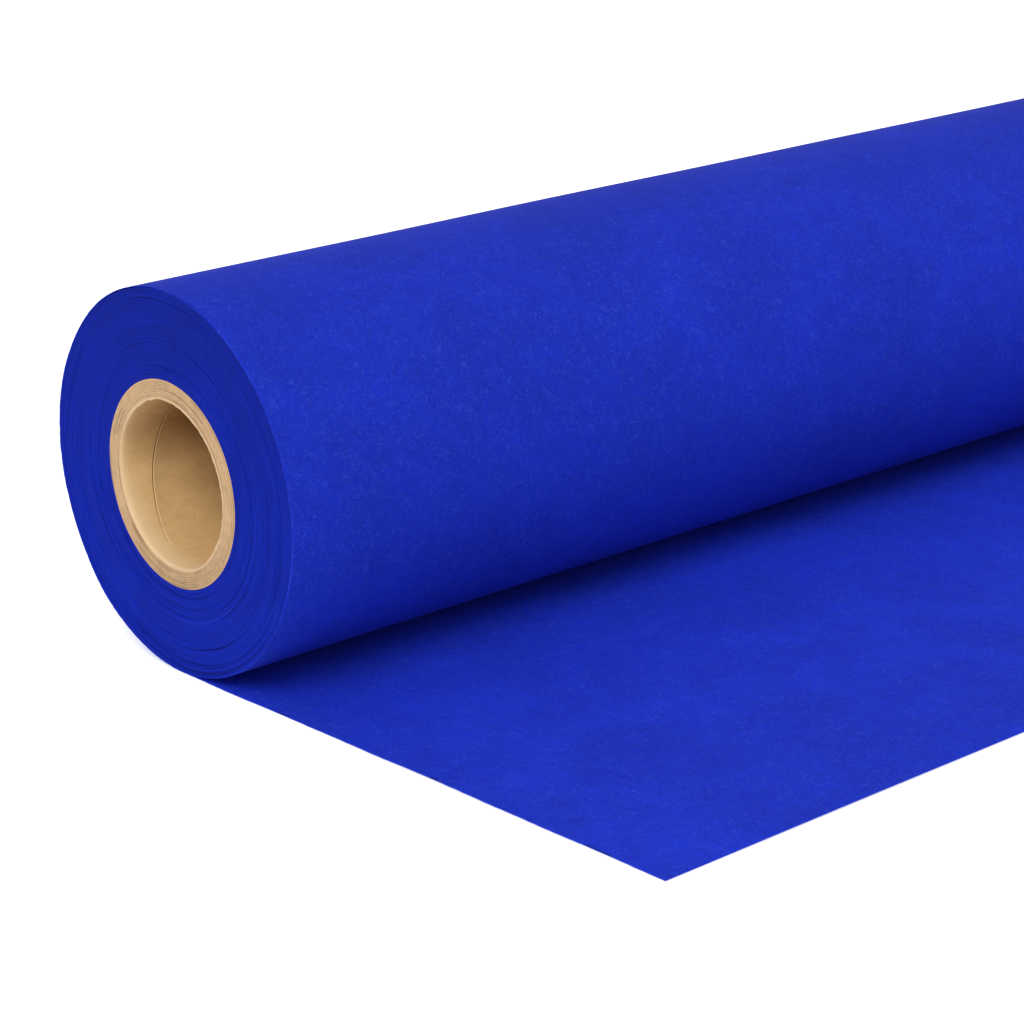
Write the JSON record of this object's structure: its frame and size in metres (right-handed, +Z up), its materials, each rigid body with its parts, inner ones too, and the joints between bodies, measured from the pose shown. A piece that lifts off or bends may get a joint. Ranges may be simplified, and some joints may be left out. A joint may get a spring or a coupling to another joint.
{
  "type": "background paper roll",
  "caption": "Roll of seamless background paper on a board core, with the outer turn leaving the roll at the bottom and its free end laid out flat in front.",
  "frame": {"origin": "centre of the core's bore, midway along the roll", "axes": "+X along the roll and its bore; -Y the way the paper pays out over the floor; +Z up"},
  "size_m": [2.72, 0.2965, 0.1309],
  "materials": {
    "kraft_liner": "matte",
    "kraft_board": "matte",
    "paper_tape": "satin",
    "blue_paper_edge": "matte",
    "blue_paper": "matte"
  },
  "bodies": {
    "wrap": {"outer_turn": "blue_paper", "flat_run": "blue_paper"},
    "roll": {"core_liner": "kraft_liner", "core_ply_2": "kraft_board", "core_ply_3": "kraft_board", "core_ply_4": "kraft_board", "core_ply_5": "kraft_board", "core_ply_6": "kraft_board", "core_ply_7": "kraft_board", "core_wrap": "kraft_board", "tail_tape": "paper_tape", "wound_paper": "blue_paper_edge"},
    "leader": {"leader_sheet": "blue_paper"}
  },
  "joints": [
    {"name": "roll_spin", "type": "hinge", "parent": "wrap", "child": "roll", "pos_m": [0, 0, 0], "axis": [-1, 0, 0], "range_deg": [0, 180]},
    {"name": "leader_feed", "type": "slide", "parent": "wrap", "child": "leader", "axis": [0, -1, 0], "range_m": [0, 0.2057]}
  ],
  "couplings": [
    {"joint": "leader_feed", "follows": "roll_spin", "m_per_rad": 0.06545}
  ]
}
